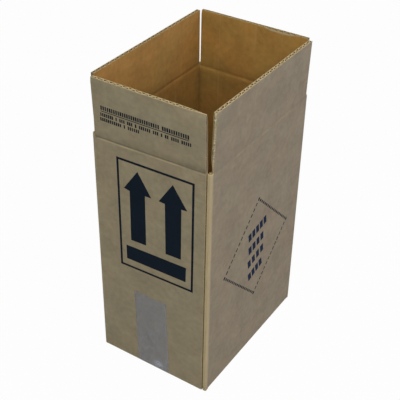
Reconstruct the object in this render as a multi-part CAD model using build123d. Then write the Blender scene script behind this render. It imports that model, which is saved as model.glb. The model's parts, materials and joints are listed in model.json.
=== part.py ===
"""Corrugated shipper box for one oblong gallon can, open, with its four top flaps standing.

A regular slotted box is one blank of fluted board. Four panels are joined at vertical creases, and a
narrow tab on the first panel is glued behind the last. Eight flaps, cut apart by slots, continue the
panels above and below. The bottom flaps are folded shut and taped. The top flaps turn on their creases.

Frame, in millimetres: +X right along the short front panel, +Y back along the long panels, +Z up.
The origin is on the floor under the middle of the four walls.
"""

import os

from build123d import *

# Inside of the closed box
INSIDE_WIDTH = 138.0
INSIDE_LENGTH = 193.5
INSIDE_DEPTH = 283.0

# Fluted board: two flat liners and a folded medium between them
BOARD = 4.0
LINER = 0.35
MEDIUM = 0.3
FLUTE_PITCH = 7.8
FLUTE_CREST = 1.4
SCORE_LAND = 6.0

# Flaps and the slots that part them. The long flaps meet over the middle, but for a gap.
TOP_SEAM = 12.0
BOTTOM_SEAM = 2.0
MINOR_CLEAR = 0.6
MAJOR_CLEAR = 0.3
LAP_GAP = 0.3
SIDE_GAP = 0.3

# Creases that the top flaps turn on
HINGE_PROUD = 0.1
CREASE_GAP = 0.25

# Folds of the blank
CORNER_ROUND = 3.0
BOTTOM_ROUND = 3.5
INNER_ROUND = 0.6
BEAD_ROUND = 1.0
BEAD_LIFT = 1.0
BEAD_GAP = 0.2

# Glued joint at the near corner, where the tab's board is crushed thin
JOINT_GAP = 1.5
JOINT_ROUND = 2.0
TAB_WIDTH = 35.0
TAB_BOARD = 2.2
TAB_SLOT = 2.3
TAB_TAPER = 8.0
TAB_CLEAR = 0.5
TAB_LAP = 1.5

# Tape over the bottom seam and a way up the two short walls
TAPE = 0.1
TAPE_WIDTH = 44.0
TAPE_RISE = 108.0
TAPE_SHIFT = -1.5

# How far each top flap leans out of the upright, in degrees
LEAN = {"front_flap": 2.9, "right_flap": 0.8, "back_flap": 1.0, "left_flap": 0.0}

NO_LENGTH = 1e-4

WIDTH = INSIDE_WIDTH + 2 * BOARD
LENGTH = INSIDE_LENGTH + 2 * BOARD
MAJOR_FLAP = (WIDTH - TOP_SEAM) / 2
REACH = (WIDTH - BOTTOM_SEAM) / 2
MINOR_SLOT = BOARD + MINOR_CLEAR
MAJOR_SLOT = BOARD + MAJOR_CLEAR

# Heights, from the floor up
BASE = TAPE
MINOR_FLOOR = BASE + BOARD + LAP_GAP
MINOR_CREASE = MINOR_FLOOR + BOARD + INSIDE_DEPTH + BOARD + HINGE_PROUD
MAJOR_CREASE = MINOR_CREASE + BOARD + LAP_GAP
MINOR_FLAP = MAJOR_CREASE + MAJOR_FLAP - MINOR_CREASE
EAR_TOP = (MINOR_CREASE + MAJOR_CREASE) / 2
TAB_LOW = MINOR_FLOOR + BOARD + TAB_CLEAR
TAB_HIGH = MINOR_CREASE - BOARD - TAB_CLEAR

# Plan positions of the wall ends. The front panel stops short of the near corner.
SIDE_X = WIDTH / 2
END_Y = LENGTH / 2
SHORT_X = SIDE_X - MINOR_SLOT
FRONT_FREE_X = SIDE_X - BOARD - JOINT_GAP
TAB_Y = -END_Y + BOARD
RIGHT_NEAR_Y = TAB_Y + TAB_SLOT
FAR_Y = END_Y - MAJOR_SLOT


def quarter(centre, radius, first, last):
    """A quarter turn about a centre, from one direction to another, as its start, middle and end."""
    middle = radius / 2**0.5
    return (
        (centre[0] + radius * first[0], centre[1] + radius * first[1]),
        (centre[0] + middle * (first[0] + last[0]), centre[1] + middle * (first[1] + last[1])),
        (centre[0] + radius * last[0], centre[1] + radius * last[1]),
    )


def outline(*pieces):
    """A closed face. A point is a corner and a quarter is an arc, and straight lines join them in order."""
    edges = []
    end = pieces[-1][-1] if len(pieces[-1]) == 3 else pieces[-1]
    for piece in pieces:
        start = piece[0] if len(piece) == 3 else piece
        if (Vector(*start) - Vector(*end)).length > NO_LENGTH:
            edges.append(Edge.make_line(end, start))
        if len(piece) == 3:
            edges.append(Edge.make_three_point_arc(*piece))
        end = piece[-1] if len(piece) == 3 else piece
    return make_face(Wire(edges))


def major_section():
    """Wall and outer bottom flap of a long panel: first number inward from its outer face, second up."""
    inner = BOARD + INNER_ROUND
    top = MAJOR_CREASE - CREASE_GAP
    return outline(
        (0, top),
        (BOARD, top - BOARD),
        quarter((inner, BASE + inner), INNER_ROUND, (-1, 0), (0, -1)),
        (REACH, BASE + BOARD),
        (REACH, BASE),
        quarter((BOTTOM_ROUND, BASE + BOTTOM_ROUND), BOTTOM_ROUND, (0, -1), (-1, 0)),
    )


def minor_section():
    """Wall and inner bottom flap of a short panel. Its crease bulges down beside the outer flaps' ends."""
    inner = BOARD + INNER_ROUND
    top = MINOR_CREASE - CREASE_GAP
    bead, low = MAJOR_SLOT - BEAD_GAP, BASE + BEAD_LIFT
    return outline(
        (0, top),
        (BOARD, top - BOARD),
        quarter((inner, MINOR_FLOOR + inner), INNER_ROUND, (-1, 0), (0, -1)),
        (REACH, MINOR_FLOOR + BOARD),
        (REACH, MINOR_FLOOR),
        (bead, MINOR_FLOOR),
        (bead, low),
        quarter((BEAD_ROUND, low + BEAD_ROUND), BEAD_ROUND, (0, -1), (-1, 0)),
    )


def flute_cells(width, depth):
    """The hollow cells between the medium and each liner, spaced along a flap's width and as deep as given.

    They hang down from the XY plane, at the cut edge, with the outer face at Y 0 and the width along X.
    """
    height = BOARD - 2 * LINER - MEDIUM
    foot = FLUTE_CREST
    for _ in range(20):
        slope = (foot - FLUTE_CREST) / (2 * height)
        foot = FLUTE_PITCH - FLUTE_CREST - 2 * MEDIUM * ((1 + slope**2) ** 0.5 - slope)
    count = int((width - foot - 2 * LINER) / FLUTE_PITCH) + 1
    cells = []
    for i in range(2 * count - 1):
        centre = (i - count + 1) * FLUTE_PITCH / 2
        wide, narrow = (LINER, BOARD - LINER - MEDIUM) if i % 2 else (BOARD - LINER, LINER + MEDIUM)
        cell = Polygon(
            (centre - foot / 2, wide),
            (centre + foot / 2, wide),
            (centre + FLUTE_CREST / 2, narrow),
            (centre - FLUTE_CREST / 2, narrow),
            align=None,
        )
        cells.append(extrude(cell, amount=-depth, dir=(0, 0, 1)))
    return cells


def panel(section, under, run, turn, corner):
    """A wall with its bottom flap, as long as run, set at a corner of the plan after a turn about Z.

    It is drawn along X from its left end with its outer face at Y 0, and the bottom flap's cells are open
    at its cut edge. They end where the score has crushed the board.
    """
    side = Plane(origin=(0, 0, 0), x_dir=(0, 1, 0), z_dir=(1, 0, 0))
    flutes = Pos(run / 2, REACH, under + BOARD) * Rot(-90, 0, 0)
    cells = [flutes * cell for cell in flute_cells(run, REACH - BOARD - SCORE_LAND)]
    return Pos(*corner, 0) * Rot(0, 0, turn) * (extrude(side * section, amount=run) - cells)


def upright(plan, bottom, top):
    """A plan outline drawn up between two heights."""
    return extrude(Pos(0, 0, bottom) * plan, amount=top - bottom)


def corner_post(x_side, y_side):
    """The bend between two panels, which the slots leave standing above and below the folds."""
    x, y = x_side * SIDE_X, y_side * END_Y
    inner_x, inner_y = x - x_side * BOARD, y - y_side * BOARD
    bend = (x - x_side * CORNER_ROUND, y - y_side * CORNER_ROUND)
    plan = outline(
        (x_side * SHORT_X, y),
        quarter(bend, CORNER_ROUND, (0, y_side), (x_side, 0)),
        (x, y_side * FAR_Y),
        (inner_x, y_side * FAR_Y),
        (inner_x, inner_y),
        (x_side * SHORT_X, inner_y),
    )
    return upright(plan, BASE, EAR_TOP)


def joint_post(inner_end, back):
    """Plan of the near corner's bend, from the start of the glued tab round to the right panel."""
    inner_x = SIDE_X - BOARD
    return outline(
        (inner_end, TAB_Y),
        quarter((SIDE_X - JOINT_ROUND, TAB_Y + JOINT_ROUND), JOINT_ROUND, (0, -1), (1, 0)),
        (SIDE_X, RIGHT_NEAR_Y),
        (inner_x, RIGHT_NEAR_Y),
        (inner_x, back),
        (inner_end, back),
    )


def glue_tab():
    """The tab behind the front panel, with tapered ends that stay clear of the folded minor flaps."""
    start, end = SIDE_X - BOARD / 2, SIDE_X - BOARD - TAB_WIDTH
    front = Plane(origin=(0, TAB_Y, 0), x_dir=(1, 0, 0), z_dir=(0, -1, 0))
    side = Polygon(
        (start, TAB_LOW),
        (end, TAB_LOW + TAB_TAPER),
        (end, TAB_HIGH - TAB_TAPER),
        (start, TAB_HIGH),
        align=None,
    )
    return extrude(front * side, amount=-TAB_BOARD)


def box_body():
    """The folded blank without its top flaps, as one piece of board."""
    major, minor = major_section(), minor_section()
    front = panel(minor, MINOR_FLOOR, SHORT_X + FRONT_FREE_X, 0, (-SHORT_X, -END_Y))
    right = panel(major, BASE, FAR_Y - RIGHT_NEAR_Y, 90, (SIDE_X, RIGHT_NEAR_Y))
    back = panel(minor, MINOR_FLOOR, 2 * SHORT_X, 180, (SHORT_X, END_Y))
    left = panel(major, BASE, 2 * FAR_Y, -90, (-SIDE_X, FAR_Y))
    corners = [corner_post(-1, -1), corner_post(-1, 1), corner_post(1, 1)]
    tab_back = TAB_Y + TAB_BOARD
    joint = upright(joint_post(FRONT_FREE_X - TAB_LAP, tab_back), BASE, TAB_HIGH)
    ear_plan = joint_post(FRONT_FREE_X + SIDE_GAP, min(tab_back, RIGHT_NEAR_Y))
    joint_ear = upright(ear_plan, TAB_HIGH, EAR_TOP)
    return right + left + back + front + corners + joint + joint_ear + glue_tab()


def top_flap(width, length, lean):
    """A flap stood on its crease line: X along the crease, Y inward from the outer face, Z up from the hinge.

    Its root is cut back at 45 degrees inside, so that it folds in square against the wall's own cut, and
    the board is crushed solid as far as the score reaches. Above that the cells are open to the cut edge.
    """
    root = Polygon(
        (HINGE_PROUD, CREASE_GAP),
        (HINGE_PROUD + BOARD, CREASE_GAP + BOARD),
        (HINGE_PROUD + BOARD, length),
        (HINGE_PROUD, length),
        align=None,
    )
    side = Plane(origin=(-width / 2, 0, 0), x_dir=(0, 1, 0), z_dir=(1, 0, 0))
    depth = length - CREASE_GAP - BOARD - SCORE_LAND
    cells = [Pos(0, HINGE_PROUD, length) * cell for cell in flute_cells(width, depth)]
    return Rot(lean, 0, 0) * (extrude(side * root, amount=width) - cells)


def top_flaps():
    """Each flap on its hinge line, turned so that its own inward side faces the middle of the box.

    The blank's edge is one straight cut, so the flaps on the lower creases are the longer ones.
    """
    short_front = SHORT_X + FRONT_FREE_X - SIDE_GAP
    long_right = FAR_Y - RIGHT_NEAR_Y - 2 * SIDE_GAP
    short_back = 2 * (SHORT_X - SIDE_GAP)
    long_left = 2 * (FAR_Y - SIDE_GAP)
    front_mid = (FRONT_FREE_X - SHORT_X + SIDE_GAP) / 2
    right_mid = (FAR_Y + RIGHT_NEAR_Y) / 2
    proud_x, proud_y = SIDE_X + HINGE_PROUD, END_Y + HINGE_PROUD
    seats = {
        "front_flap": (short_front, MINOR_FLAP, Pos(front_mid, -proud_y, MINOR_CREASE)),
        "right_flap": (long_right, MAJOR_FLAP, Pos(proud_x, right_mid, MAJOR_CREASE) * Rot(0, 0, 90)),
        "back_flap": (short_back, MINOR_FLAP, Pos(0, proud_y, MINOR_CREASE) * Rot(0, 0, 180)),
        "left_flap": (long_left, MAJOR_FLAP, Pos(-proud_x, 0, MAJOR_CREASE) * Rot(0, 0, -90)),
    }
    return {
        name: seat * top_flap(width, length, LEAN[name])
        for name, (width, length, seat) in seats.items()
    }


def bottom_tape():
    """One strip: up the front, round the bottom folds and along the seam, and up the back."""
    crease, flat = BASE + BEAD_LIFT, MAJOR_SLOT
    high = BASE + TAPE_RISE

    def end(side):
        """The strip's section at one end wall, from its top down to where it meets the floor."""
        wall, centre = side * END_Y, (side * (END_Y - BEAD_ROUND), crease + BEAD_ROUND)
        meets = side * (END_Y - flat)
        return outline(
            (wall, high),
            quarter(centre, BEAD_ROUND, (side, 0), (0, -1)),
            (meets, BASE),
            (meets, 0),
            quarter(centre, BEAD_ROUND + TAPE, (0, -1), (side, 0)),
            (wall + side * TAPE, high),
        )

    run = END_Y - flat
    under = Polygon((-run, 0), (run, 0), (run, BASE), (-run, BASE), align=None)
    side = Plane(origin=(TAPE_SHIFT - TAPE_WIDTH / 2, 0, 0), x_dir=(0, 1, 0), z_dir=(1, 0, 0))
    return extrude(side * (end(-1) + under + end(1)), amount=TAPE_WIDTH)


def main():
    os.makedirs("parts", exist_ok=True)
    pieces = {"box_body": box_body(), "bottom_tape": bottom_tape(), **top_flaps()}
    for name, piece in pieces.items():
        export_step(piece, f"parts/{name}.step")
        print(f"{name}: {len(piece.solids())} solid, {piece.volume:.0f} mm3")


main()
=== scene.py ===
"""Open corrugated shipper box: board, creases, flaps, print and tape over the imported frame.

Each side of the box is treated as one flat sheet, from its bottom flap to the cut edge of its top flap,
that can be asked for a point anywhere on it or in its thickness. Board, creases, print and tape all ask
the same sheet, so they lie on each other from every side. All lengths are in metres.
"""

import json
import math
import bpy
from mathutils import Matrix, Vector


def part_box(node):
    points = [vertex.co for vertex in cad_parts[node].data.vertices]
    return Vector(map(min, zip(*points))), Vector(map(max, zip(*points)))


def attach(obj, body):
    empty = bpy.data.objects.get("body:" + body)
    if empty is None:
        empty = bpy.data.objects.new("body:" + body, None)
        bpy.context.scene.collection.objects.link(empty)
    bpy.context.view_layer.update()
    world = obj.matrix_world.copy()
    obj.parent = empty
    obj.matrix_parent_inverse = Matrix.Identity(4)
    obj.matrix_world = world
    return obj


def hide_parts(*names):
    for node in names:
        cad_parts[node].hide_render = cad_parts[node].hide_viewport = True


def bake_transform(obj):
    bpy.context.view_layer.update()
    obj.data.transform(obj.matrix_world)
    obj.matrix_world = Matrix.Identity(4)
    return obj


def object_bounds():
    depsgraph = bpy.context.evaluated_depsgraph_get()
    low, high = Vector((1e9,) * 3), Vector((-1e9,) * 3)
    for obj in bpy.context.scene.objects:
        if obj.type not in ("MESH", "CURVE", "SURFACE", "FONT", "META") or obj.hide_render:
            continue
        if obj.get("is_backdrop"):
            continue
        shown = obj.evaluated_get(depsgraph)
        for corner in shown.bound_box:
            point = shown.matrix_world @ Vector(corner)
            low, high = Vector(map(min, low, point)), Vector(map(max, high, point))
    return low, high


bl_info = {
    "name": "Corrugated Shipper Box",
    "version": (1, 0, 0),
    "blender": (4, 5, 0),
    "location": "View3D > Sidebar > Shipper Box",
    "description": "Builds an open slotted box of fluted board, with creased flaps, print and tape",
    "category": "Add Mesh",
}

import bmesh
import bpy
from bpy.props import FloatProperty, FloatVectorProperty, PointerProperty
from bpy.types import Operator, Panel, PropertyGroup
from mathutils import Matrix, Vector, noise

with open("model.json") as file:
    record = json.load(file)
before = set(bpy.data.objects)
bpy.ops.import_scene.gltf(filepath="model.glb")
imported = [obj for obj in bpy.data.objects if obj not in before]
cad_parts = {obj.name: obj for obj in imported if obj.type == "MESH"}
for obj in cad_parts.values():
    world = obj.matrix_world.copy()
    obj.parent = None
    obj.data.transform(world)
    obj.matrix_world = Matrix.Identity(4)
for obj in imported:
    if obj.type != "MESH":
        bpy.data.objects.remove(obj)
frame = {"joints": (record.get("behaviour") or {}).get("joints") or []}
cad_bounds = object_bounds()

MM = 0.001
UP = Vector((0, 0, 1))

# Material slots of the board, in the order of board_materials
OUTSIDE, INSIDE, CUT, MEDIUM, FRAYED = range(5)

# Height up to which the walls belong to their bottom folds
FOLD_TOP = 12 * MM

# Widest step between two columns of a wall
WALL_STEP = 8 * MM

# Painted shade: how much darker the paper is made inside the walls and folds, and on the flaps' plain side
# cuts
PAINTED_SHADE = -0.45

# Where the back flap's inner liner is torn: place along the flap, half width and depth
PEEL = (-35 * MM, 19 * MM, 3.2 * MM)

# Thickness of the tape
FILM = 0.1 * MM


# Settings

class BoardSettings(PropertyGroup):
    """Sizes of the fluted board and of its folds."""

    thickness: FloatProperty(
        name="Board thickness", description="Outer face to inner face of the board", default=4 * MM,
        unit="LENGTH", precision=4,
    )
    liner: FloatProperty(
        name="Liner", description="Thickness of each flat liner", default=0.35 * MM, unit="LENGTH",
        precision=5,
    )
    medium: FloatProperty(
        name="Medium", description="Thickness of the fluted paper", default=0.3 * MM, unit="LENGTH",
        precision=5,
    )
    pitch: FloatProperty(
        name="Flute pitch", description="Crest to crest of the fluted paper", default=7.8 * MM,
        unit="LENGTH", precision=4,
    )
    corner: FloatProperty(
        name="Corner round", description="Outer radius of the vertical folds", default=3 * MM,
        unit="LENGTH", precision=4,
    )
    joint_corner: FloatProperty(
        name="Joint corner round", description="Outer radius of the crushed fold at the glued joint",
        default=2 * MM, unit="LENGTH", precision=4,
    )
    joint_roll: FloatProperty(
        name="Joint roll",
        description="How far the rolled joint stands out beside the front panel's free edge",
        default=2.5 * MM, unit="LENGTH", precision=4,
    )
    tab_width: FloatProperty(
        name="Glue tab", description="How far the tab reaches behind the front panel", default=35 * MM,
        unit="LENGTH", precision=4,
    )
    tab_board: FloatProperty(
        name="Tab board", description="Thickness of the tab's crushed board", default=2.2 * MM,
        unit="LENGTH", precision=4,
    )
    tab_taper: FloatProperty(
        name="Tab taper", description="How much each end of the tab slopes in", default=8 * MM,
        unit="LENGTH", precision=4,
    )
    reach: FloatProperty(
        name="Bottom flap reach",
        description="Outer face of the wall to the cut edge of its bottom flap", default=72 * MM,
        unit="LENGTH", precision=4,
    )
    slot_gap: FloatProperty(
        name="Slot gap", description="Room between the side of a top flap and the board beside it",
        default=0.3 * MM, unit="LENGTH", precision=5,
    )
    crease_half: FloatProperty(
        name="Crease band", description="How far the bending board reaches above and below a crease",
        default=6 * MM, unit="LENGTH", precision=4,
    )
    score_depth: FloatProperty(
        name="Score depth", description="How deep the score is pressed into the inner face",
        default=0.45 * MM, unit="LENGTH", precision=4,
    )


class PaperSettings(PropertyGroup):
    """Colours of the papers, inks and film."""

    kraft: FloatVectorProperty(
        name="Outer liner", description="Unbleached paper on the outside", subtype="COLOR",
        default=(0.301, 0.252, 0.157), min=0, max=1,
    )
    kraft_inner: FloatVectorProperty(
        name="Inner liner", description="Unbleached paper on the inside", subtype="COLOR",
        default=(0.423, 0.228, 0.055), min=0, max=1,
    )
    cut: FloatVectorProperty(
        name="Cut edge", description="Fresh fibre along the cut edges", subtype="COLOR",
        default=(0.52, 0.42, 0.22), min=0, max=1,
    )
    fluting: FloatVectorProperty(
        name="Medium", description="Fluted paper between the liners", subtype="COLOR",
        default=(0.36, 0.26, 0.12), min=0, max=1,
    )
    worn: FloatVectorProperty(
        name="Worn paper", description="Rubbed creases and edges", subtype="COLOR",
        default=(0.53, 0.43, 0.235), min=0, max=1,
    )
    frayed: FloatVectorProperty(
        name="Frayed fibre", description="Loose fibre on the torn side of a flap", subtype="COLOR",
        default=(0.72, 0.64, 0.40), min=0, max=1,
    )
    ink: FloatVectorProperty(
        name="Dark ink", description="Ink of the marks on the front", subtype="COLOR",
        default=(0.006, 0.011, 0.019), min=0, max=1,
    )
    blue_ink: FloatVectorProperty(
        name="Blue ink", description="Ink of the marks on the right side", subtype="COLOR",
        default=(0.015, 0.025, 0.050), min=0, max=1,
    )
    film: FloatVectorProperty(
        name="Tape film", description="Grey see-through film of the tape", subtype="COLOR",
        default=(0.335, 0.365, 0.425), min=0, max=1,
    )


class PrintSettings(PropertyGroup):
    """Sizes of the printed marks."""

    line: FloatProperty(
        name="Frame line", description="Width of the line of the frame", default=2.7 * MM,
        unit="LENGTH", precision=4,
    )
    lift: FloatProperty(
        name="Ink lift", description="How far the ink lies proud of the paper", default=0.05 * MM,
        unit="LENGTH", precision=5,
    )
    step: FloatProperty(
        name="Grid", description="Longest stretch of print that is left flat", default=6 * MM,
        unit="LENGTH", precision=4,
    )


class StageSettings(PropertyGroup):
    """Camera and light."""

    lens: FloatProperty(
        name="Lens", description="Focal length on a 36 mm frame", default=79.396, unit="CAMERA",
    )
    heading: FloatProperty(
        name="Heading", description="Turn of the camera about the vertical",
        default=math.radians(-32.609), subtype="ANGLE",
    )
    pitch: FloatProperty(
        name="Downward pitch", description="How far the camera looks down",
        default=math.radians(35.185), subtype="ANGLE",
    )
    roll: FloatProperty(
        name="Roll", description="Turn of the camera about its own axis", default=math.radians(1.057),
        subtype="ANGLE",
    )
    place: FloatVectorProperty(
        name="Camera place", description="Where the camera stands", subtype="TRANSLATION",
        unit="LENGTH", default=(0.44465, -0.69993, 0.76936),
    )
    daylight: FloatProperty(
        name="Daylight", description="Strength of the even light all round", default=0.42, min=0,
    )


# Small helpers for numbers and points

def smooth(x):
    """0 before 0, 1 after 1 and an even rise between."""
    x = min(max(x, 0.0), 1.0)
    return x * x * (3 - 2 * x)


def dip(x, width):
    """1 at 0, falling off evenly to both sides."""
    return math.exp(-((x / width) ** 2))


def wander(seed, *place, scale=1.0):
    """Soft noise from -1 to 1 at a place in metres, with features of about 1 / scale metres."""
    x, y = (place + (0.0,))[:2]
    return noise.noise(Vector((x * scale, y * scale, seed * 7.31)))


def spread(low, high, step):
    """Evenly spaced values from low to high, at most a step apart."""
    count = max(1, math.ceil(abs(high - low) / step - 1e-6))
    return [low + (high - low) * i / count for i in range(count + 1)]


def quad(i, k):
    """Corners of a cell of a grid, anticlockwise."""
    return (i, k), (i + 1, k), (i + 1, k + 1), (i, k + 1)


def in_mm(*points):
    """Flat points that are given in millimetres."""
    return [Vector((x * MM, y * MM)) for x, y in points]


def crescent(u, at, half_width):
    """Depth of a half ellipse at u, 1 in its middle and 0 from its ends on."""
    return math.sqrt(max(0.0, 1 - ((u - at) / half_width) ** 2))


def edge_wear(u, t, edge):
    """Rubbed paper in a narrow line along the cut edge."""
    return 0.75 * dip(t - edge, 0.7 * MM) * (0.6 + 0.6 * wander(11, u, t, scale=120))


# One side of the box as a sheet

class Side:
    """One wall with its top flap. u runs along it, to the right as seen from outside, from its middle.

    w runs inward from the outer face, z is the height on the wall, and t runs up the flap from its crease.
    """

    def __init__(self, size, name, along, seed, belly, drift, rubbed, pressed, rough, rub_width=1.0 * MM):
        """belly is the wall's bow and drift the height of its crease line at both ends.

        rubbed says how much the crease is worn, pressed how much it is dented and how strong the painted
        shadow along it is, and rough how ragged the cut edge is.
        """
        self.size = size
        self.name = name
        self.seed = seed
        self.belly = belly
        self.drift = drift
        self.rubbed = rubbed
        self.rub_width = rub_width
        self.pressed = pressed
        self.rough = rough
        self.along = Vector(along)
        self.inward = UP.cross(self.along)
        low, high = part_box("box_body")
        half = (high - low) / 2
        self.half = abs(half.dot(self.along))
        self.face = abs(half.dot(self.inward))
        self.base = low.z
        self.ear = high.z
        long, short = high.y - low.y, high.x - low.x
        self.start = {"right": 0, "back": long, "left": long + short, "front": 2 * long + short}[name]
        joint = next(j for j in frame["joints"] if j["child"] == name + "_flap")
        self.hinge = Vector(joint["pos_m"])
        self.lean = math.radians(joint["range_deg"][1] - 90)
        self.proud = self.hinge.dot(-self.inward) - self.face
        low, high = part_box(name + "_flap")
        self.flap_ends = sorted((low.dot(self.along), high.dot(self.along)))
        rise = high.z - self.hinge.z - (size.thickness + self.proud) * math.sin(self.lean)
        self.edge = rise / math.cos(self.lean)
        self.ends = [self.flap_ends[0] - size.slot_gap, self.flap_ends[1] + size.slot_gap]
        self.minor = name in ("front", "back")
        self.floor = self.base + (size.thickness + size.slot_gap if self.minor else 0)
        self.knocks = []

    def bulge(self, u, z):
        """How far the wall bows inward, which is nothing at its folds."""
        low, high = FOLD_TOP, self.hinge.z - self.size.crease_half
        up = math.sin(math.pi * min(max((z - low) / (high - low), 0), 1))
        across = math.cos(math.pi * min(abs(u / self.half), 1) / 2)
        uneven = 0.3 * MM * wander(self.seed, u, z, scale=11)
        return across * up * (self.belly + uneven)

    def curl(self, u, t):
        """How far the flap bows, which is nothing at its crease and never towards the flap it closes on."""
        up = smooth((t - self.size.crease_half) / (self.edge - self.size.crease_half))
        most = 0.7 * MM
        bow = up * most * (0.5 + 0.5 * wander(self.seed + 5, u, t, scale=9))
        return bow if self.minor else -bow

    def on_wall(self, u, w, z):
        """A point of the wall."""
        return self.along * u + self.inward * (w + self.bulge(u, z) - self.face) + UP * z

    def on_flap(self, u, w, t):
        """A point of the flap."""
        inward = self.inward * math.cos(self.lean) + UP * math.sin(self.lean)
        rise = UP * math.cos(self.lean) - self.inward * math.sin(self.lean)
        return self.hinge + self.along * u + inward * (self.proud + w + self.curl(u, t)) + rise * t

    def on_crease(self, u, w, t):
        """A point of the band that bends from the wall to the flap."""
        half = self.size.crease_half
        share = smooth((t + half * 0.8) / (half * 1.6))
        wall = self.on_wall(u, w, self.hinge.z + t)
        return wall.lerp(self.on_flap(u, w, t), share)

    def on_floor(self, u, w, t):
        """A point of the bottom flap, t inward from the wall's outer face and w up from its underside."""
        return self.along * u + self.inward * (t - self.face) + UP * (self.floor + w)

    def off_crease(self, u, t):
        """Height above the pressed line of the crease, which runs a little off the hinge."""
        share = (u - self.ends[0]) / (self.ends[1] - self.ends[0])
        line = self.drift[0] + (self.drift[1] - self.drift[0]) * share
        return t - line - 0.3 * MM * wander(self.seed + 2, u, scale=45)

    def section(self, u, t):
        """Outer and inner face of the board at a place on the flap, where score and knocks thin it."""
        thick = self.size.thickness
        line = self.off_crease(u, t)
        dent, dent_width, score_width = 0.18 * MM, 0.9 * MM, 2.3 * MM
        outer = dent * self.pressed * dip(line - dent_width, dent_width)
        outer += self.press(u) * (1 - smooth((t + 3 * MM) / (6 * MM)))
        inner = thick - self.size.score_depth * dip(line, score_width)
        for at_u, at_t, wide, high, share in self.knocks:
            pinch = share * dip(u - at_u, wide) * dip(t - at_t, high)
            outer += (thick / 2 - outer) * pinch
            inner += (thick / 2 - inner) * pinch
        return outer, inner

    def wear(self, u, t):
        """Wear and painted shading of the outer and inner face: light where rubbed or where a painted
        highlight lies, and below 0 where painted shadow lies.
        """
        line = self.off_crease(u, t)
        patch = self.rubbed * max(0.0, 0.6 + 1.2 * wander(self.seed + 3, u, scale=50))
        rubbed = patch * dip(line + 0.1 * MM, self.rub_width)
        # Painted shadow in and above the pressed crease of the outer face: a narrow band and a wide soft
        # one.
        groove_shadow = 0.55 * dip(line - 1.6 * MM, 1.1 * MM)
        hollow = 0.36 * dip(line - 3.5 * MM, 3.2 * MM)
        outer = rubbed - self.pressed * (groove_shadow + hollow)
        # Inside: a faint painted highlight below the score, painted shadow above it in a narrow band and a
        # wide patchy one, and the painted shade of the walls.
        glint = 0.06 * dip(line + 1.5 * MM, 1.5 * MM)
        score = 0.25 * dip(line - 2.4 * MM, 2.6 * MM)
        patchy_shadow = 0.3 * dip(line - 8 * MM, 6 * MM) * (1 + 0.8 * wander(self.seed + 8, u, scale=30))
        inner = glint - score - patchy_shadow + self.inner_shade(t)
        if self.name == "back":
            inner += self.bared(u, t)
        rim = self.rough * edge_wear(u, t, self.edge)
        return outer + rim, inner + rim

    def bared(self, u, t):
        """Pale fibre where the inner liner is torn."""
        at, half_width, deep = PEEL
        low = self.edge - deep * crescent(u, at, half_width)
        return 1.3 * smooth((t - low) / (0.6 * MM)) * smooth((half_width - abs(u - at)) / MM)

    def inner_shade(self, t):
        """Painted shade on the inside of the walls, which ends at the crease."""
        return PAINTED_SHADE * (1 - smooth((t + self.size.crease_half) / (1.5 * self.size.crease_half)))

    def press(self, u):
        """How far the outer face is crushed in along the front panel's free edge."""
        if self.name != "front":
            return 0.0
        band = 3 * MM
        return 0.5 * MM * smooth((u - self.ends[1] + band) / band)

    def flat(self, u, z):
        """Place on the flat blank, for the papers' patterns."""
        return self.start + self.half + u, z

    def flat_flap(self, u, t):
        """Place on the flat blank, t above the crease."""
        return self.flat(u, self.hinge.z + t)

    def knock(self, u, t, wide, high, share):
        """Notes a knocked place, pinched by a share of the board's thickness."""
        self.knocks.append((u, t, wide, high, share))


def make_sides(size):
    """The four sides, each with its own small irregularities."""
    front = Side(
        size, "front", (1, 0, 0), seed=1, belly=0.35 * MM, drift=(0.2 * MM, 4.2 * MM),
        rubbed=0.75, pressed=1.0, rough=1.0,
    )
    right = Side(
        size, "right", (0, 1, 0), seed=2, belly=-0.45 * MM, drift=(-1.3 * MM, -2.2 * MM),
        rubbed=0.3, pressed=0.2, rough=1.0, rub_width=1.9 * MM,
    )
    back = Side(
        size, "back", (-1, 0, 0), seed=3, belly=0.3 * MM, drift=(1.3 * MM, 1.3 * MM),
        rubbed=0.6, pressed=0.7, rough=0.3,
    )
    left = Side(
        size, "left", (0, -1, 0), seed=4, belly=0.5 * MM, drift=(-1.3 * MM, -1.3 * MM),
        rubbed=0.6, pressed=0.7, rough=0.2,
    )
    front.ends[1] = front.flap_ends[1]
    front.knock(front.flap_ends[1], front.edge, 17 * MM, 4 * MM, 0.72)
    front.knock(front.flap_ends[0], front.edge, 4 * MM, 3 * MM, 0.35)
    right.knock(right.flap_ends[0], 3.5 * MM, 3 * MM, 5 * MM, 0.7)
    right.knock(right.flap_ends[0], right.edge, 4 * MM, 2 * MM, 0.15)
    back.knock(back.flap_ends[1], back.edge, 4 * MM, 3 * MM, 0.4)
    return {side.name: side for side in (front, right, back, left)}


# Meshes

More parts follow.
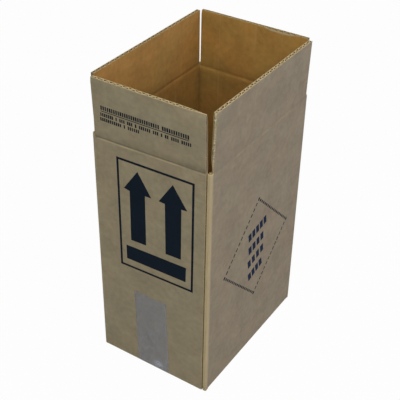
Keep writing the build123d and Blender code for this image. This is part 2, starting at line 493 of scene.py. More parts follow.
class Pile:
    """Collects closed shells for one object, with flat-blank coordinates, wear and painted shading, and
    materials.
    """

    def __init__(self):
        self.points = []
        self.faces = []
        self.slots = []
        self.flats = []
        self.wear = []

    def sheet(self, nodes, cells, slots, thick):
        """A sheet with both faces and its cut edges. A node is (outer, inner, flat, wear and painted
        shading of both).

        A cell lists its nodes anticlockwise as seen from outside.
        """
        used = {key: i for i, key in enumerate(dict.fromkeys(k for cell in cells for k in cell))}
        first, count = len(self.points), len(used)
        for face in (0, 1):
            for key in used:
                self.points.append(nodes[key][face])
                self.wear.append(nodes[key][3][face])
        edges = {}
        for cell in cells:
            self.face([first + used[k] for k in cell], slots[0], [nodes[k][2] for k in cell])
            back = cell[::-1]
            self.face([first + count + used[k] for k in back], slots[1], [nodes[k][2] for k in back])
            for a, b in zip(cell, cell[1:] + cell[:1]):
                edges[a, b] = None
        for a, b in edges:
            if (b, a) in edges:
                continue
            flat_a, flat_b = nodes[a][2], nodes[b][2]
            axis = 0 if abs(flat_a[0] - flat_b[0]) > abs(flat_a[1] - flat_b[1]) else 1
            i, j = first + used[a], first + used[b]
            flats = [(0, flat_b[axis]), (0, flat_a[axis]), (thick, flat_a[axis]), (thick, flat_b[axis])]
            self.face([j, i, i + count, j + count], slots[2], flats)

    def face(self, corners, slot, flats):
        """One face with its material and flat-blank coordinates."""
        self.faces.append(corners)
        self.slots.append(slot)
        self.flats.append(flats)

    def grid(self, columns, rows, node, slots, thick):
        """A sheet over a grid. node(column, row) gives a node."""
        nodes = {(i, k): node(c, r) for i, c in enumerate(columns) for k, r in enumerate(rows)}
        cells = [quad(i, k) for i in range(len(columns) - 1) for k in range(len(rows) - 1)]
        self.sheet(nodes, cells, slots, thick)

    def mesh(self, mesh, place, flat, slot, wear=lambda point: 0.0):
        """A ready mesh, its points moved by place and given flat-blank coordinates. The mesh is used up."""
        first = len(self.points)
        for vertex in mesh.vertices:
            self.points.append(place(vertex.co))
            self.wear.append(wear(vertex.co))
        for polygon in mesh.polygons:
            corners = list(polygon.vertices)
            self.face([first + i for i in corners], slot, [flat(mesh.vertices[i].co) for i in corners])
        bpy.data.meshes.remove(mesh)

    def make(self, name, materials, crisp=35):
        """The object, smooth but for edges sharper than crisp degrees."""
        mesh = bpy.data.meshes.new(name)
        mesh.from_pydata([tuple(p) for p in self.points], [], self.faces)
        mesh.polygons.foreach_set("material_index", self.slots)
        mesh.polygons.foreach_set("use_smooth", [True] * len(self.faces))
        flat = mesh.uv_layers.new(name="flat")
        flat.data.foreach_set("uv", [x for flats in self.flats for pair in flats for x in pair])
        wear = mesh.attributes.new("wear", "FLOAT", "POINT")
        wear.data.foreach_set("value", self.wear)
        for material in materials:
            mesh.materials.append(material)
        mesh.set_sharp_from_angle(angle=math.radians(crisp))
        mesh.update()
        return place_object(name, mesh)


def place_object(name, mesh):
    """An object for a mesh whose place is in its points."""
    obj = bpy.data.objects.new(name, mesh)
    bpy.context.scene.collection.objects.link(obj)
    return obj


# Node trees

class Tree:
    """Adds and wires nodes in a shader or geometry tree."""

    def __init__(self, tree):
        self.tree = tree

    def feed(self, node, inputs):
        """Sets a node's inputs by name or number, each to a value or to another node's output."""
        for key, value in inputs.items():
            if isinstance(value, bpy.types.NodeSocket):
                self.tree.links.new(value, node.inputs[key])
            else:
                node.inputs[key].default_value = value

    def add(self, kind, inputs=None, **settings):
        """A node with its settings and its inputs."""
        node = self.tree.nodes.new(kind)
        for key, value in settings.items():
            setattr(node, key, value)
        self.feed(node, inputs or {})
        return node

    def math(self, operation, *values, clamp=False):
        """The output of a Math node."""
        inputs = dict(enumerate(values))
        return self.add("ShaderNodeMath", inputs, operation=operation, use_clamp=clamp).outputs[0]

    def about(self, value, middle, strength, base):
        """base plus the strength's share of how far a value lies from its middle."""
        return self.math("MULTIPLY_ADD", self.math("SUBTRACT", value, middle), strength, base)

    def above(self, value, low, slope):
        """A mask that rises from 0 at low with a slope, up to 1."""
        return self.math("MULTIPLY", self.math("SUBTRACT", value, low), slope, clamp=True)

    def noise(self, vector, scale, detail=2.0):
        """The value of a noise texture, about 0 to 1."""
        inputs = {"Vector": vector, "Scale": scale, "Detail": detail}
        return self.add("ShaderNodeTexNoise", inputs).outputs[0]

    def scaled(self, vector, scale):
        """A vector or colour times a number."""
        return self.add("ShaderNodeVectorMath", {0: vector, "Scale": scale}, operation="SCALE").outputs[0]

    def parts(self, vector):
        """The parts of a vector."""
        return self.add("ShaderNodeSeparateXYZ", {0: vector}).outputs

    def squeezed(self, parts, across, up):
        """A flat place squeezed along an axis, for a pattern drawn out along it."""
        flat = {}
        for axis, share in enumerate((across, up)):
            flat[axis] = parts[axis] if share == 1 else self.math("MULTIPLY", parts[axis], share)
        return self.add("ShaderNodeCombineXYZ", flat).outputs[0]

    def bump(self, height, strength, distance):
        """The normal of a surface with a fine relief."""
        inputs = {"Height": height, "Strength": strength, "Distance": distance}
        return self.add("ShaderNodeBump", inputs).outputs[0]

    def mix(self, share, a, b):
        """Colour a turned towards colour b."""
        return self.add("ShaderNodeMix", {0: share, 6: a, 7: b}, data_type="RGBA").outputs[2]

    def seen_straight(self):
        """1 for rays from the camera and those that show a background in gloss or glass."""
        ray = self.add("ShaderNodeLightPath").outputs
        seen = self.math("MAXIMUM", ray["Is Camera Ray"], ray["Is Glossy Ray"])
        return self.math("MAXIMUM", seen, ray["Is Transmission Ray"])


def new_group(name, kind, inputs, outputs):
    """An empty node group with named sockets. Each input is (name, type, default)."""
    group = bpy.data.node_groups.new(name, kind)
    for label, socket_type, default in inputs:
        socket = group.interface.new_socket(name=label, in_out="INPUT", socket_type=socket_type)
        if default is not None:
            socket.default_value = default
    for label, socket_type in outputs:
        group.interface.new_socket(name=label, in_out="OUTPUT", socket_type=socket_type)
    return group


def kraft_group():
    """Kraft paper: fibres along the machine, specks, blotches, the washboard of the flutes, wear, and
    painted shade where the wear is below 0.
    """
    name = "Kraft Paper"
    if name in bpy.data.node_groups:
        return bpy.data.node_groups[name]
    group = new_group(
        name,
        "ShaderNodeTree",
        [
            ("Flat Place", "NodeSocketVector", None),
            ("Paper", "NodeSocketColor", (0.3, 0.24, 0.14, 1)),
            ("Worn", "NodeSocketColor", (0.5, 0.4, 0.25, 1)),
            ("Wear", "NodeSocketFloat", 0.0),
            ("Flute Pitch", "NodeSocketFloat", 7.8),
            ("Washboard", "NodeSocketFloat", 1.0),
            ("Blotches", "NodeSocketFloat", 1.0),
            ("Scuffs", "NodeSocketFloat", 0.0),
            ("Streaks", "NodeSocketFloat", 0.0),
            ("Tint", "NodeSocketFloat", 0.0),
        ],
        [("Colour", "NodeSocketColor"), ("Roughness", "NodeSocketFloat"), ("Height", "NodeSocketFloat")],
    )
    t = Tree(group)
    given = t.add("NodeGroupInput").outputs
    place = t.scaled(given["Flat Place"], 1 / MM)
    parts = t.parts(place)
    fibre = t.noise(t.squeezed(parts, 0.22, 1), 1.3, 3.0)
    blotch = t.noise(place, 0.035, 3.0)
    cloud = t.noise(place, 0.16)
    speck = t.noise(place, 1.5, 1.0)
    angle = t.math("DIVIDE", t.math("MULTIPLY", parts[0], 2 * math.pi), given["Flute Pitch"])
    rib = t.math("MULTIPLY", t.math("SINE", angle), t.math("MULTIPLY", cloud, given["Washboard"]))
    scuffed = t.above(t.noise(t.squeezed(parts, 0.5, 1), 0.11, 4.0), 0.6, 5.0)
    scuffed = t.math("MULTIPLY", scuffed, given["Scuffs"])
    streak = t.above(t.noise(t.squeezed(parts, 1, 0.02), 0.15), 0.62, 12.0)
    scuffed = t.math("MAXIMUM", scuffed, t.math("MULTIPLY", streak, given["Streaks"]))
    tone = t.about(blotch, 0.5, 0.34, 1.0)
    tone = t.about(cloud, 0.5, 0.26, tone)
    tone = t.about(tone, 1.0, given["Blotches"], 1.0)
    tone = t.about(fibre, 0.5, 0.22, tone)
    tone = t.math("MULTIPLY_ADD", rib, 0.055, tone)
    tone = t.math("MULTIPLY_ADD", t.above(speck, 0.66, 6.0), -0.16, tone)
    tone = t.math("MULTIPLY_ADD", t.above(speck, 0.32, -6.0), 0.10, tone)
    # Below 0 the wear input is painted shade, which darkens the paper.
    shade = t.math("MULTIPLY", given["Wear"], -0.5, clamp=True)
    tone = t.math("MULTIPLY", tone, t.math("SUBTRACT", 1.0, shade))
    shift = {0: given["Paper"], 1: (0.90, 1.03, 1.06)}
    greener = t.add("ShaderNodeVectorMath", shift, operation="MULTIPLY")
    patch = t.above(t.noise(place, 0.022), 0.4, 4.0)
    tint = t.mix(t.math("MULTIPLY", patch, given["Tint"]), given["Paper"], greener.outputs[0])
    rubbed = t.about(fibre, 0.5, 0.35, given["Wear"])
    rubbed = t.math("MULTIPLY", rubbed, t.math("GREATER_THAN", given["Wear"], 0.02), clamp=True)
    colour = t.mix(t.math("MAXIMUM", rubbed, scuffed), t.scaled(tint, tone), given["Worn"])
    rough = t.math("MULTIPLY_ADD", fibre, 0.12, 0.76)
    height = t.math("MULTIPLY_ADD", fibre, 0.25, t.math("MULTIPLY", rib, 0.6))
    height = t.math("MULTIPLY_ADD", speck, 0.2, height)
    t.add("NodeGroupOutput", {"Colour": colour, "Roughness": rough, "Height": height})
    return group


def cut_group():
    """The cut edge of board: two pale liners with the torn medium between them, its open flutes darkened as
    painted shade.
    """
    name = "Cut Board"
    if name in bpy.data.node_groups:
        return bpy.data.node_groups[name]
    group = new_group(
        name,
        "ShaderNodeTree",
        [
            ("Edge Place", "NodeSocketVector", None),
            ("Fibre", "NodeSocketColor", (0.5, 0.4, 0.25, 1)),
            ("Gap", "NodeSocketColor", (0.15, 0.1, 0.05, 1)),
            ("Thickness", "NodeSocketFloat", 4.0),
            ("Liner", "NodeSocketFloat", 0.7),
        ],
        [("Colour", "NodeSocketColor"), ("Height", "NodeSocketFloat")],
    )
    t = Tree(group)
    given = t.add("NodeGroupInput").outputs
    place = t.scaled(given["Edge Place"], 1 / MM)
    depth = t.about(t.noise(place, 0.9, 3.0), 0.5, 1.6, t.parts(place)[0])
    middle = t.math("MULTIPLY", given["Thickness"], 0.5)
    away = t.math("ABSOLUTE", t.math("SUBTRACT", depth, middle))
    inset = t.math("SUBTRACT", t.math("SUBTRACT", middle, given["Liner"]), away)
    torn = t.noise(place, 0.55, 4.0)
    # Painted shade in the open flutes where the torn medium lies back from the cut.
    gap = t.math("MULTIPLY", t.math("MULTIPLY", inset, 1.4, clamp=True), t.above(torn, 0.30, 2.6))
    tone = t.about(t.noise(place, 2.2), 0.5, 0.5, 1.0)
    colour = t.mix(gap, t.scaled(given["Fibre"], tone), given["Gap"])
    height = t.math("MULTIPLY_ADD", torn, 0.6, t.math("MULTIPLY", gap, -0.8))
    t.add("NodeGroupOutput", {"Colour": colour, "Height": height})
    return group


def opaque(colour):
    """A colour setting with its alpha."""
    return tuple(colour) + (1.0,)


def new_material(name):
    """A material, its tree and its shader."""
    material = bpy.data.materials.new(name)
    material.use_nodes = True
    return material, Tree(material.node_tree), material.node_tree.nodes["Principled BSDF"]


def paper_material(name, colour, worn, shine=0.25, relief=0.12, **looks):
    """Kraft paper, or ink printed on it, in its own colour. looks are more inputs of the paper's group."""
    if name in bpy.data.materials:
        return bpy.data.materials[name]
    material, t, shader = new_material(name)
    values = {
        "Flat Place": t.add("ShaderNodeUVMap", uv_map="flat").outputs[0],
        "Paper": opaque(colour),
        "Worn": opaque(worn),
        "Wear": t.add("ShaderNodeAttribute", attribute_name="wear").outputs["Fac"],
        "Flute Pitch": bpy.context.scene.box_board.pitch / MM,
        "Washboard": 0.0,
    }
    values.update({key.capitalize(): value for key, value in looks.items()})
    kraft = t.add("ShaderNodeGroup", values, node_tree=kraft_group()).outputs
    finish = {
        "Base Color": kraft["Colour"],
        "Roughness": kraft["Roughness"],
        "Normal": t.bump(kraft["Height"], 0.6, relief * MM),
        "Specular IOR Level": shine,
    }
    t.feed(shader, finish)
    return material


def cut_material():
    """The board's cut edges."""
    name = "cut_board"
    if name in bpy.data.materials:
        return bpy.data.materials[name]
    material, t, shader = new_material(name)
    values = {
        "Edge Place": t.add("ShaderNodeUVMap", uv_map="flat").outputs[0],
        "Fibre": opaque(bpy.context.scene.box_paper.cut),
        # Colour of the painted shade in the open flutes.
        "Gap": (0.10, 0.062, 0.026, 1),
        "Thickness": bpy.context.scene.box_board.thickness / MM,
    }
    cut = t.add("ShaderNodeGroup", values, node_tree=cut_group()).outputs
    finish = {
        "Base Color": cut["Colour"],
        "Normal": t.bump(cut["Height"], 0.8, 0.3 * MM),
        "Roughness": 0.92,
        "Specular IOR Level": 0.15,
    }
    t.feed(shader, finish)
    return material


def board_materials():
    """Materials of the board, in the order of the slots that the meshes use."""
    paper = bpy.context.scene.box_paper
    outside = {"washboard": 0.22, "blotches": 1.5, "scuffs": 0.22, "tint": 0.3}
    inside = {"washboard": 0.4, "blotches": 1.7, "scuffs": 0.08, "streaks": 0.16, "tint": 0.8}
    return [
        paper_material("kraft_outside", paper.kraft, paper.worn, **outside),
        paper_material("kraft_inside", paper.kraft_inner, paper.worn, **inside),
        cut_material(),
        paper_material("fluted_medium", paper.fluting, paper.worn, relief=0.2),
        paper_material("frayed_fibre", paper.kraft, paper.frayed, blotches=2.0, relief=0.35),
    ]


def film_material():
    """Grey packing film: smooth, half clear, with faint streaks, a dusty grain and pale air under it."""
    name = "tape_film"
    if name in bpy.data.materials:
        return bpy.data.materials[name]
    material, t, shader = new_material(name)
    place = t.scaled(t.add("ShaderNodeUVMap", uv_map="flat").outputs[0], 1 / MM)
    streak = t.noise(t.squeezed(t.parts(place), 1, 0.08), 0.5, 3.0)
    grain = t.noise(place, 0.12, 3.0)
    air = t.add("ShaderNodeAttribute", attribute_name="wear").outputs["Fac"]
    air = t.math("MULTIPLY", air, t.math("MULTIPLY", t.noise(place, 0.35), 2.0))
    tone = t.about(grain, 0.5, 0.5, t.about(streak, 0.5, 0.5, 1.0))
    tone = t.math("ADD", tone, air)
    alpha = t.math("MULTIPLY_ADD", air, 0.12, t.about(grain, 0.5, 0.2, 0.24), clamp=True)
    finish = {
        "Base Color": t.scaled(tuple(bpy.context.scene.box_paper.film), tone),
        "Alpha": alpha,
        "Normal": t.bump(streak, 0.08, 0.1 * MM),
        "Roughness": 0.38,
    }
    t.feed(shader, finish)
    return material


# Geometry node trees

def evaluated(mesh, tree, values):
    """The plain mesh that a geometry tree makes from a mesh, which is used up. values go by name."""
    obj = place_object("tree_host", mesh)
    modifier = obj.modifiers.new("tree", "NODES")
    modifier.node_group = tree
    for item in tree.interface.items_tree:
        if item.item_type == "SOCKET" and item.in_out == "INPUT" and item.name in values:
            modifier[item.identifier] = values[item.name]
    graph = bpy.context.evaluated_depsgraph_get()
    result = bpy.data.meshes.new_from_object(obj.evaluated_get(graph))
    obj.modifiers.remove(modifier)
    bpy.data.objects.remove(obj)
    bpy.data.meshes.remove(mesh)
    return result


def medium_tree():
    """Fluted paper: a wave across X, as long as the cells are deep, with a real thickness."""
    name = "Fluted Medium"
    if name in bpy.data.node_groups:
        return bpy.data.node_groups[name]
    tree = new_group(
        name,
        "GeometryNodeTree",
        [
            ("Geometry", "NodeSocketGeometry", None),
            ("Width", "NodeSocketFloat", 0.1),
            ("Depth", "NodeSocketFloat", 0.06),
            ("Pitch", "NodeSocketFloat", 0.0078),
            ("Swing", "NodeSocketFloat", 0.0015),
            ("Thickness", "NodeSocketFloat", 0.0003),
            ("Steps", "NodeSocketFloat", 10.0),
            ("Rows", "NodeSocketInt", 5),
            ("Material", "NodeSocketMaterial", None),
        ],
        [("Geometry", "NodeSocketGeometry")],
    )
    t = Tree(tree)
    given = t.add("NodeGroupInput").outputs
    waves = t.math("DIVIDE", given["Width"], given["Pitch"])
    columns = t.math("ROUND", t.math("MULTIPLY", waves, given["Steps"]))
    cells = {
        "Size X": given["Width"],
        "Size Y": given["Depth"],
        "Vertices X": columns,
        "Vertices Y": given["Rows"],
    }
    grid = t.add("GeometryNodeMeshGrid", cells)
    position = t.add("GeometryNodeInputPosition").outputs[0]
    across = t.add("ShaderNodeSeparateXYZ", {0: position}).outputs[0]
    angle = t.math("MULTIPLY", t.math("DIVIDE", across, given["Pitch"]), 2 * math.pi)
    wave = t.math("MULTIPLY", t.math("COSINE", angle), given["Swing"])
    offset = t.add("ShaderNodeCombineXYZ", {2: wave})
    moved = {"Geometry": grid.outputs["Mesh"], "Offset": offset.outputs[0]}
    waved = t.add("GeometryNodeSetPosition", moved)
    thick = t.add(
        "GeometryNodeExtrudeMesh",
        {"Mesh": waved.outputs[0], "Offset Scale": given["Thickness"], "Individual": False},
        mode="FACES",
    )
    under = t.add("GeometryNodeFlipFaces", {0: waved.outputs[0]})
    both = t.add("GeometryNodeJoinGeometry", {0: thick.outputs[0]})
    t.feed(both, {0: under.outputs[0]})
    merged = t.add("GeometryNodeMergeByDistance", {"Geometry": both.outputs[0], "Distance": 1e-6})
    real = t.add("GeometryNodeRealizeInstances", {0: merged.outputs[0]})
    painted = t.add("GeometryNodeSetMaterial", {"Geometry": real.outputs[0], "Material": given["Material"]})
    t.add("NodeGroupOutput", {0: painted.outputs[0]})
    return tree


def marks_tree():
    """Printed marks set along a line: dashes, or rows of blocks with some left out at random."""
    name = "Printed Marks"
    if name in bpy.data.node_groups:
        return bpy.data.node_groups[name]
    tree = new_group(
        name,
        "GeometryNodeTree",
        [
            ("Geometry", "NodeSocketGeometry", None),
            ("Length", "NodeSocketFloat", 0.003),
            ("Spacing", "NodeSocketFloat", 0.005),
            ("Width", "NodeSocketFloat", 0.001),
            ("Thickness", "NodeSocketFloat", 0.0001),
            ("Left Out", "NodeSocketFloat", 0.0),
            ("Unevenness", "NodeSocketFloat", 0.0),
            ("Seed", "NodeSocketInt", 1),
            ("Material", "NodeSocketMaterial", None),
        ],
        [("Geometry", "NodeSocketGeometry")],
    )
    t = Tree(tree)
    given = t.add("NodeGroupInput").outputs
    line = t.add("GeometryNodeMeshToCurve", {0: given["Geometry"]})
    spaced = {"Curve": line.outputs[0], "Length": given["Spacing"]}
    beads = t.add("GeometryNodeCurveToPoints", spaced, mode="LENGTH")
    odds = {"Probability": given["Left Out"], "Seed": given["Seed"]}
    chance = t.add("FunctionNodeRandomValue", odds, data_type="BOOLEAN")
    left_out = {"Geometry": beads.outputs["Points"], "Selection": chance.outputs[3]}
    kept = t.add("GeometryNodeDeleteGeometry", left_out, domain="POINT")
    block = t.add("GeometryNodeMeshCube", {"Size": (1, 1, 1)})
    low = t.math("SUBTRACT", 1.0, given["Unevenness"])
    shares = {2: low, 3: 1.0, "Seed": t.math("ADD", given["Seed"], 3)}
    uneven = t.add("FunctionNodeRandomValue", shares, data_type="FLOAT")
    length = t.math("MULTIPLY", given["Length"], uneven.outputs[1])
    size = t.add("ShaderNodeCombineXYZ", {0: length, 1: given["Width"], 2: given["Thickness"]})
    ahead = {"Vector": beads.outputs["Tangent"]}
    turn = t.add("FunctionNodeAlignRotationToVector", ahead, axis="X", pivot_axis="Z")
    blocks = {
        "Points": kept.outputs[0],
        "Instance": block.outputs[0],
        "Rotation": turn.outputs[0],
        "Scale": size.outputs[0],
    }
    placed = t.add("GeometryNodeInstanceOnPoints", blocks)
    real = t.add("GeometryNodeRealizeInstances", {0: placed.outputs[0]})
    painted = t.add("GeometryNodeSetMaterial", {"Geometry": real.outputs[0], "Material": given["Material"]})
    t.add("NodeGroupOutput", {0: painted.outputs[0]})
    return tree


# Board

def fluted_board(pile, place, flat, ends, depth, faces, wear, seed, rough=1.0, torn=None):
    """Two liners with the fluted medium between them, open at the cut edge.

    place(u, w, t) gives a point, faces(u, t) the outer and inner w, wear(u, t) the wear and painted shading
    of both, rough how far the knife has roughed the edge up, and torn(u) how much of the inner liner is
    gone at the edge.
    """
    size = bpy.context.scene.box_board
    columns = spread(*ends, 5.5 * MM)
    low, high = depth
    band = 6 * MM
    rows = spread(low, high - band, 9 * MM)
    rows += [high - x * MM for x in (4.4, 3.4, 2.4, 1.5, 0.7, 0)]

    def cut(u, t, side):
        """A row near the cut edge, made ragged and torn. side is 1 for the outer liner, 2 for the inner."""
        near = smooth((t - high + band) / band)
        loss = 0.25 * MM * (0.5 + 0.5 * wander(seed + side, u, scale=160))
        if torn and side == 2:
            loss += torn(u)
        return t - near * loss

    def lip(u, t):
        """Thickness of a liner, which the knife has roughed up along the cut."""
        burr = 0.4 * MM * rough * (0.8 + 0.7 * wander(seed + 6, u, scale=210))
        return size.liner + burr * smooth((t - high + 1.4 * MM) / (1.2 * MM))

    def rim(u, t):
        """Pale torn fibre on the hidden faces at the cut, and painted shade that darkens the cells below
        it.
        """
        pale = rough * (1.1 + 0.5 * wander(seed + 7, u, t, scale=300))
        # Painted shade, deeper in the cells.
        dark = 0.7
        lit = smooth((t - high + 1.1 * MM) / MM)
        return (pale + dark) * lit - dark * smooth((t - high + 25 * MM) / (15 * MM))

    def outer_liner(u, t):
        """A node of the outer liner."""
        w, thick = faces(u, t)[0], lip(u, t)
        t = cut(u, t, 1)
        return place(u, w, t), place(u, w + thick, t), flat(u, t), (wear(u, t)[0], rim(u, t))

    def inner_liner(u, t):
        """A node of the inner liner."""
        w, thick = faces(u, t)[1], lip(u, t)
        t = cut(u, t, 2)
        return place(u, w - thick, t), place(u, w, t), flat(u, t), (rim(u, t), wear(u, t)[1])

    pile.grid(columns, rows, outer_liner, (OUTSIDE, MEDIUM, CUT), size.liner)
    pile.grid(columns, rows, inner_liner, (MEDIUM, INSIDE, CUT), size.liner)
    room = size.thickness - 2 * size.liner
    start, end = low + 2 * MM, high - 0.15 * MM
    roughed = 3 * size.medium
    values = {
        "Width": ends[1] - ends[0] - 1.2 * MM,
        "Depth": end - start,
        "Pitch": size.pitch,
        "Swing": (room - roughed) / 2,
        "Thickness": roughed,
    }
    wave = evaluated(bpy.data.meshes.new("medium"), medium_tree(), values)
    middle = (ends[0] + ends[1]) / 2

    def height(point):
        """Height of a point of the medium, whose last quarter is drawn up to the cut."""
        share = point.y / (end - start) + 0.5
        drawn = 1.3 * MM
        if share < 0.76:
            return start + (end - drawn - start) * share / 0.75
        return end - drawn * (1 - share) / 0.25

    def between(point):
        """Fits the medium between the liners, however close they lie."""
        u, t = middle + point.x, height(point)
        t -= 0.3 * MM * smooth((t - high + 3 * MM) / (3 * MM)) * wander(seed + 4, u, scale=300)
        outer, inner = faces(u, t)
        share = (point.z - roughed / 2) / room + 0.5
        share = min(max(share, 0.015), 0.985)
        gap = max(inner - outer - 2 * size.liner, 0.02 * MM)
        return place(u, outer + size.liner + gap * share, t)

    def on_blank(point):
        """Place of a point of the medium on the flat blank."""
        return flat(middle + point.x, height(point))

    def shade(point):
        """Wear and painted shade of a point of the medium."""
        return rim(middle + point.x, height(point))

    pile.mesh(wave, between, on_blank, MEDIUM, shade)


def frayed_side(pile, place, flat, end, outward, depth, faces, seed, fuzz, tone):
    """The crushed last flute along a side cut, between the two liners, more or less frayed. tone makes it
    pale or darkens it with painted shade.
    """
    size = bpy.context.scene.box_board
    rows = spread(*depth, 0.9 * MM)

    def ragged(share, t):
        """A point of the crushed paper, share of the way from the outer liner to the inner."""
        outer, inner = faces(end, t)
        w = outer + size.liner + (inner - outer - 2 * size.liner) * share
        bow = math.sin(math.pi * share)
        out = fuzz * bow * (0.35 + 0.9 * wander(seed, t, share * 0.01, scale=700))
        tuck = 0.9 * MM * (1 - bow)
        return w, out - tuck

    def node(share, t):
        """Front and back of the crushed paper."""
        w, out = ragged(share, t)
        inner_w, inner_out = ragged(0.5 + (share - 0.5) * 0.9, t)
        point = place(end + outward * out, w, t)
        back = place(end + outward * (min(out, inner_out) - 0.5 * MM), inner_w, t)
        # tone lightens frayed fibre, or lays painted shade on a plain cut.
        worn = tone + 0.9 * wander(seed + 1, t, w, scale=900)
        return point, back, flat(end + w, t), (worn, worn)

    shares = [0.0, 0.2, 0.4, 0.6, 0.8, 1.0]
    order = shares[::-1] if outward < 0 else shares
    pile.grid(order, rows, node, (FRAYED, FRAYED, FRAYED), 0.5 * MM)


class BOX_OT_walls(Operator):
    """Folds the blank: four walls, the glued tab, the corner posts and the closed bottom flaps"""

    bl_idname = "shipper_box.walls"
    bl_label = "Fold the walls"

    def execute(self, context):
        size = context.scene.box_board
        sides = make_sides(size)
        pile = Pile()
        self.folded_sheet(pile, sides, size)
        for side in sides.values():
            self.bottom_flap(pile, side, size)
        body = pile.make("body_board", board_materials())
        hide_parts("box_body")
        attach(body, "box")
        return {"FINISHED"}

    def folded_sheet(self, pile, sides, size):
        """The sheet that runs from the tab round the four walls to the front panel's free edge.

        A column is (kind, side, u or share, plan of both faces or None for a wall).
        """
        front, right, back, left = (sides[n] for n in ("front", "right", "back", "left"))
        columns = []
        self.tab_columns(columns, front, right, size)
        for side, following in ((right, back), (back, left), (left, front), (front, None)):
            low, high = side.ends
            for u in [low, *spread(low + 3 * MM, high - 3 * MM, WALL_STEP), high]:
                columns.append((side.name, side, u, None))
            if following:
                self.corner_columns(columns, side, following, size)
        levels = spread(FOLD_TOP, front.hinge.z - size.crease_half, 12 * MM)
        levels += [right.hinge.z - size.crease_half, front.ear]
        feet = [front.base, front.base + 0.5 * MM, front.base + 1.6 * MM]
        nodes, cells = {}, []
        for i, column in enumerate(columns):
            for k, z in enumerate(levels):
                nodes[i, k] = self.node(column, z, size, levels)
            for k, z in enumerate(feet):
                nodes[i, "foot", k] = self.node(column, z, size, levels)
        # Posts and joint end at the ears, long walls at their creases, all else at the short walls' creases
        short_of_top = {"post": 1, "joint": 1, "right": 2, "left": 2}
        for i, (a, b) in enumerate(zip(columns, columns[1:])):
            kind = self.between(a, b)
            for k in range(len(levels) - short_of_top.get(kind, 3)):
                cells.append(quad(i, k))
            if kind in ("post", "joint"):
                for k in range(len(feet)):
                    corners = ((j, "foot", r) if r < len(feet) else (j, 0) for j, r in quad(i, k))
                    cells.append(tuple(corners))
        for side in sides.values():
            self.bottom_fold(nodes, cells, columns, side)
        pile.sheet(nodes, cells, (OUTSIDE, INSIDE, CUT), size.thickness)

    def between(self, a, b):
        """What kind of board lies between two columns."""
        for kind in ("tab", "joint"):
            if kind in (a[0], b[0]):
                return kind
        return a[0] if a[0] == b[0] else "post"

    def tab_columns(self, columns, front, right, size):
        """The glue tab behind the front panel, and the crushed fold to the right wall."""
        y = -front.face + size.thickness
        start = right.face - size.thickness - size.tab_width
        bend = right.face - size.joint_corner
        free = front.flap_ends[1] + size.slot_gap
        for x in spread(start, free, WALL_STEP):
            share = (free - x) / (free - start)
            columns.append(("tab", right, share, ((x, y + 0.04 * MM), (x, y + size.tab_board))))
        inner_x = right.face - size.thickness
        face = y - size.joint_roll
        slot = ((0.25 * MM, 0.3), (0.4 * MM, 0.8), (0.8 * MM, 1.0))
        for step, (out, share) in enumerate(slot):
            outer, inner = (free + out, y - size.joint_roll * share), (free + out, y + size.tab_board)
            columns.append(("joint", right, step * 0.5 - 2, (outer, inner)))
        for i in range(6):
            angle = math.pi / 2 * i / 5
            across, away = math.sin(angle), 1 - math.cos(angle)
            outer = (bend + size.joint_corner * across, face + size.joint_corner * away)
            inner = (inner_x - 0.3 * MM + 0.3 * MM * across, y + size.tab_board + 0.09 * MM * away)
            columns.append(("joint", right, angle, (outer, inner)))

    def corner_columns(self, columns, side, following, size):
        """The vertical fold between two walls."""
        corner = side.along * side.half - side.inward * side.face
        centre = corner - side.along * size.corner + following.along * size.corner
        inside = corner + (following.along - side.along) * size.thickness
        tight = 0.2 * MM
        hollow = inside + (following.along - side.along) * tight
        for i in range(7):
            angle = math.pi / 2 * i / 6
            way = side.along * math.sin(angle) - following.along * math.cos(angle)
            outer, inner = centre + way * size.corner, hollow + way * tight
            columns.append(("post", side, angle, ((outer.x, outer.y), (inner.x, inner.y))))

    def node(self, column, z, size, levels):
        """Both faces of the sheet at a column and a height."""
        kind, side, value, plan = column
        foot = 1.4 * MM * (1 - smooth((z - side.base) / (1.8 * MM)))
        if plan is None:
            inner = side.on_wall(value, size.thickness, z)
            outer = side.on_wall(value, foot if z < FOLD_TOP else side.press(value), z)
            # Painted shade inside the wall, darker still towards the inner corners.
            corner = dip(side.half - size.thickness - abs(value), 3 * MM)
            shade = side.inner_shade(z - side.hinge.z) * (1 + corner)
            return outer, inner, side.flat(value, z), (0.0, shade)
        (x, y), (inner_x, inner_y) = plan
        if kind == "tab":
            middle = (levels[0] + levels[-3]) / 2
            half = (levels[-3] - levels[0]) / 2
            z = middle + (z - middle) * (1 - value * size.tab_taper / half)
            return Vector((x, y, z)), Vector((inner_x, inner_y, z)), side.flat(x - 0.18, z), (0.0, 0.0)
        outer, inner = Vector((x, y, z)), Vector((inner_x, inner_y, z))
        if z < FOLD_TOP:
            outer = outer.lerp(inner, foot / ((12 if kind == "joint" else 4) * MM))
        if kind == "joint":
            in_slot = value < -1.2
            # In the slot by the front panel's free edge the paper is darkened as painted shadow. On the
            # rolled fold it is lighter, partly rubbed fibre and partly painted highlight, lighter still
            # near the ear. Inside it gets the painted shade of the walls.
            worn = 0.74 + 0.3 * wander(9, z, value, scale=60) + 0.2 * dip(z - side.ear, 5 * MM)
            flat = side.flat(value * 1.3 * MM - side.half, z)
            return outer, inner, flat, (-1.3 if in_slot else worn, PAINTED_SHADE)
        u = side.half - size.corner + value / (math.pi / 2) * 2 * size.corner
        # The outer round is a little rubbed; inside, the corner gets twice the painted shade.
        return outer, inner, side.flat(u, z), (0.12 + 0.25 * wander(8, z, value, scale=45), 2 * PAINTED_SHADE)

